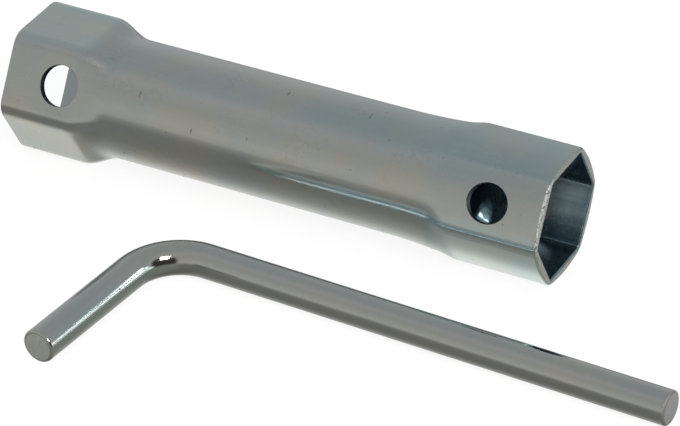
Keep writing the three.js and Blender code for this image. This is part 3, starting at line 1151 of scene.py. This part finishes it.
def studio_ground(nodes, way):
    """The ground: white behind the object, dim in front of it, and with a glare at the back."""
    sideways = nodes.math("MAXIMUM", nodes.math("ADD", way.right, 0.3), 0.0)
    towards_back = nodes.math("SUBTRACT", way.behind, nodes.product(sideways, 1.2))
    ground = grey_ramp(nodes, nodes.scaled(towards_back, -0.6, 0.5, 0.0, 1.0), GROUND_GREYS)
    ground = nodes.mix(nodes.fade(way.right, 0.2, 0.6), ground, GROUND_RIGHT_GAIN, "MULTIPLY")
    glare = nodes.fade(nodes.dot(way.towards, direction(GLARE_AZIMUTH, GLARE_ELEVATION)), 0.95, 0.99)
    return nodes.mix(glare, ground, GLARE, "ADD")


def studio_sky(nodes, way):
    """The ceiling and walls: cool behind the object, warm in front of it, and dimmer on the right."""
    cool = grey_ramp(nodes, nodes.scaled(way.up, -0.4, 1.0, 0.0, 1.0), COOL_GREYS)
    warm = grey_ramp(nodes, way.up, WARM_GREYS)
    sky = nodes.mix(nodes.fade(way.behind, 0.25, -0.35), cool, warm)
    unlit = nodes.fade(nodes.dot(way.towards, direction(UNLIT_AZIMUTH, UNLIT_ELEVATION)), 0.78, 0.88)
    sky = nodes.mix(unlit, sky, grey(UNLIT_LEVEL))
    on_right = nodes.product(nodes.fade(way.right, 0.4, 0.7), nodes.fade(way.behind, 0.1, 0.4))
    sky = nodes.mix(on_right, sky, SKY_RIGHT_GAIN, "MULTIPLY")
    in_shade = nodes.product(
        nodes.fade(way.right, -0.39, -0.32),
        nodes.fade(way.up, 0.05, -0.08),
        nodes.fade(way.behind, 0.6, 0.8),
    )
    return nodes.mix(in_shade, sky, SKY_SHADE_GAIN, "MULTIPLY")


def shown_in_the_other(nodes, way, path, around):
    """The studio as one piece shows it in the other."""
    second = second_reflection(nodes, path)
    at_back = nodes.fade(way.behind, -0.1, 0.2)
    at_back_below = nodes.product(at_back, nodes.fade(way.up, 0.0, -0.12))
    at_left = nodes.product(nodes.fade(way.right, -0.47, -0.6), nodes.fade(way.behind, -0.45, -0.25))
    gain = nodes.mix(nodes.fade(way.up, -0.1, 0.5), SECOND_GAIN_FRONT_GROUND, SECOND_GAIN_FRONT_SKY)
    gain = nodes.mix(at_back, gain, SECOND_GAIN_SKY)
    gain = nodes.mix(at_back_below, gain, SECOND_GAIN_GROUND)
    gain = nodes.mix(at_left, gain, SECOND_GAIN_LEFT)
    around = nodes.mix(second, around, gain, "MULTIPLY")
    upwards = nodes.fade(way.up, -0.5, 0.1, 0.4, 1.0)
    on_short_leg = nodes.product(second, nodes.fade(way.right, 0.6, 0.7), upwards)
    return nodes.mix(on_short_leg, around, SECOND_LIGHT_RIGHT)


def studio():
    """White to the camera, and a soft studio to everything else."""
    world = bpy.data.worlds.new("studio")
    bpy.context.scene.world = world
    world.use_nodes = True
    nodes = Nodes(world.node_tree)
    path = nodes.add("ShaderNodeLightPath")
    towards = nodes.add("ShaderNodeTexCoord").outputs["Generated"]
    way = Way(towards, *[nodes.dot(towards, axis) for axis in ((1, 0, 0), (0, 1, 0), (0, 0, 1))])
    above_horizon = nodes.math("ADD", way.up, nodes.fade(way.behind, 0.6, 0.85, 0.0, HORIZON_DROP))
    low = nodes.product(nodes.fade(above_horizon, *LOW_STEP), LOW_STEP_SHARE)
    high = nodes.product(nodes.fade(above_horizon, *HIGH_STEP), HIGH_STEP_SHARE)
    around = nodes.mix(nodes.math("ADD", low, high), studio_ground(nodes, way), studio_sky(nodes, way))
    around = shown_in_the_other(nodes, way, path, around)
    background = nodes.add("ShaderNodeBackground")
    shown = nodes.mix(path.outputs["Is Camera Ray"], around, grey(1.0))
    nodes.feed(background.inputs["Color"], shown)
    nodes.feed(nodes.add("ShaderNodeOutputWorld").inputs["Surface"], background.outputs["Background"])


bpy.context.scene.view_settings.view_transform = "Standard"
place_camera()
studio()
lights()
floor()
wrench_tube()
tommy_bar()
